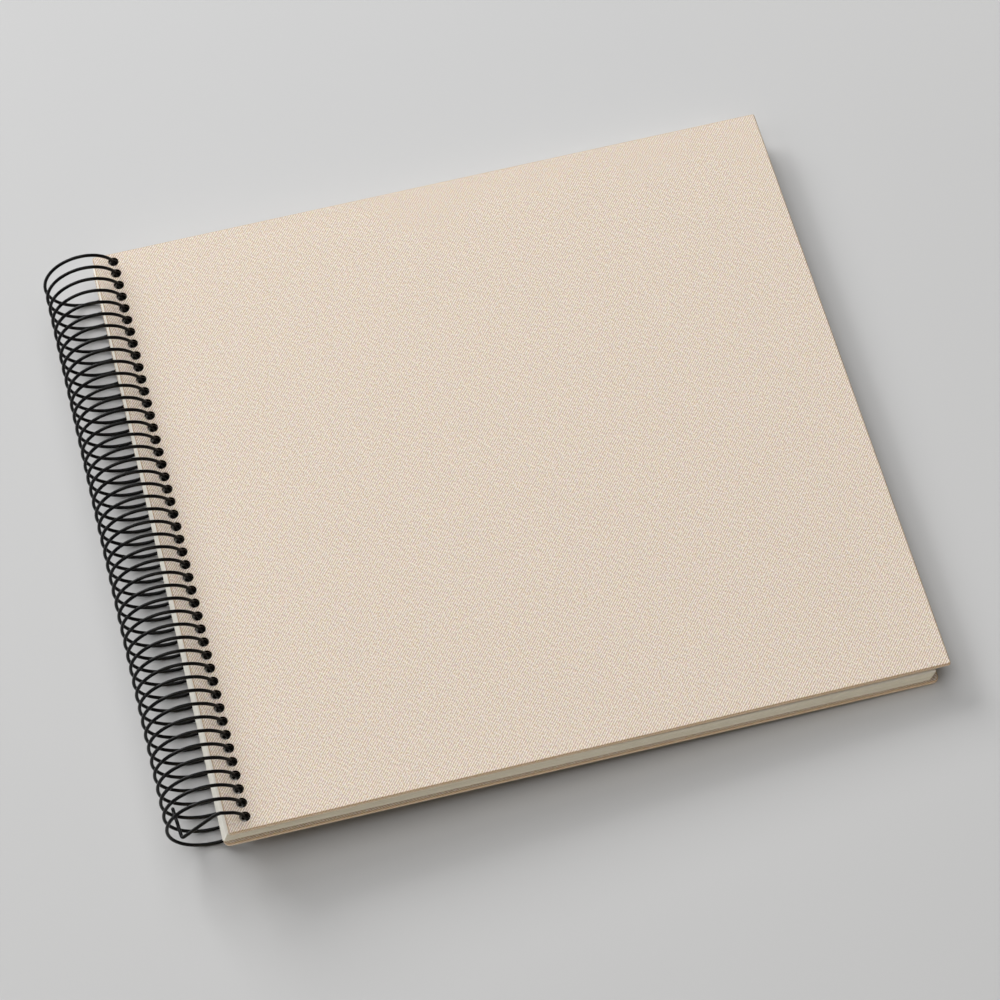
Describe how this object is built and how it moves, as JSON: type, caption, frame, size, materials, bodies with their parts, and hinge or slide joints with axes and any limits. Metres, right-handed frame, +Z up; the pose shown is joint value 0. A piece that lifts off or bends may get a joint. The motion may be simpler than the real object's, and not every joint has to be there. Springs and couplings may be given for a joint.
{
  "type": "sketchbook",
  "caption": "Closed square-format sketchbook: cloth-covered board covers and punched drawing sheets held on one wire coil, so cover and sheets turn over.",
  "frame": {"origin": "centre of the bounding box's base, on the table that the closed book lies on", "axes": "+X across the sheets from the coil to the fore-edge, +Y along the spine away from the crimped end of the coil, +Z up through the closed book"},
  "size_m": [0.3298, 0.2918, 0.0345],
  "materials": {
    "book_cloth": "matte",
    "board": "matte",
    "lining": "matte",
    "drawing_paper": "matte",
    "coil_wire": "satin"
  },
  "bodies": {
    "back_half": {"back_cover_cloth": "book_cloth", "back_cover_board": "board", "back_cover_lining": "lining", "sheet_pad": "drawing_paper"},
    "front_cover": {"front_cover_cloth": "book_cloth", "front_cover_board": "board", "front_cover_lining": "lining"},
    "coil": {"binding_coil": "coil_wire"},
    "leaf_01": {"leaf_01": "drawing_paper"},
    "leaf_02": {"leaf_02": "drawing_paper"},
    "leaf_03": {"leaf_03": "drawing_paper"},
    "leaf_04": {"leaf_04": "drawing_paper"},
    "leaf_05": {"leaf_05": "drawing_paper"},
    "leaf_06": {"leaf_06": "drawing_paper"}
  },
  "joints": [
    {"name": "front_cover_hinge", "type": "hinge", "parent": "back_half", "child": "front_cover", "pos_m": [-0.14763, 0, 0.01725], "axis": [0, -1, 0], "range_deg": [0, 184]},
    {"name": "coil_turn", "type": "hinge", "parent": "back_half", "child": "coil", "pos_m": [-0.14763, 0, 0.01725], "axis": [0, -1, 0], "range_deg": [0, 133]},
    {"name": "leaf_01_hinge", "type": "hinge", "parent": "back_half", "child": "leaf_01", "pos_m": [-0.14763, 0, 0.01725], "axis": [0, -1, 0], "range_deg": [0, 181.3]},
    {"name": "leaf_02_hinge", "type": "hinge", "parent": "back_half", "child": "leaf_02", "pos_m": [-0.14763, 0, 0.01725], "axis": [0, -1, 0], "range_deg": [0, 179.1]},
    {"name": "leaf_03_hinge", "type": "hinge", "parent": "back_half", "child": "leaf_03", "pos_m": [-0.14763, 0, 0.01725], "axis": [0, -1, 0], "range_deg": [0, 176.9]},
    {"name": "leaf_04_hinge", "type": "hinge", "parent": "back_half", "child": "leaf_04", "pos_m": [-0.14763, 0, 0.01725], "axis": [0, -1, 0], "range_deg": [0, 174.7]},
    {"name": "leaf_05_hinge", "type": "hinge", "parent": "back_half", "child": "leaf_05", "pos_m": [-0.14763, 0, 0.01725], "axis": [0, -1, 0], "range_deg": [0, 172.5]},
    {"name": "leaf_06_hinge", "type": "hinge", "parent": "back_half", "child": "leaf_06", "pos_m": [-0.14763, 0, 0.01725], "axis": [0, -1, 0], "range_deg": [0, 170.3]}
  ],
  "couplings": [
    {"joint": "coil_turn", "follows": "front_cover_hinge", "ratio": 0.72},
    {"joint": "leaf_01_hinge", "follows": "front_cover_hinge", "ratio": 0.985},
    {"joint": "leaf_02_hinge", "follows": "front_cover_hinge", "ratio": 0.973},
    {"joint": "leaf_03_hinge", "follows": "front_cover_hinge", "ratio": 0.961},
    {"joint": "leaf_04_hinge", "follows": "front_cover_hinge", "ratio": 0.949},
    {"joint": "leaf_05_hinge", "follows": "front_cover_hinge", "ratio": 0.937},
    {"joint": "leaf_06_hinge", "follows": "front_cover_hinge", "ratio": 0.925}
  ]
}
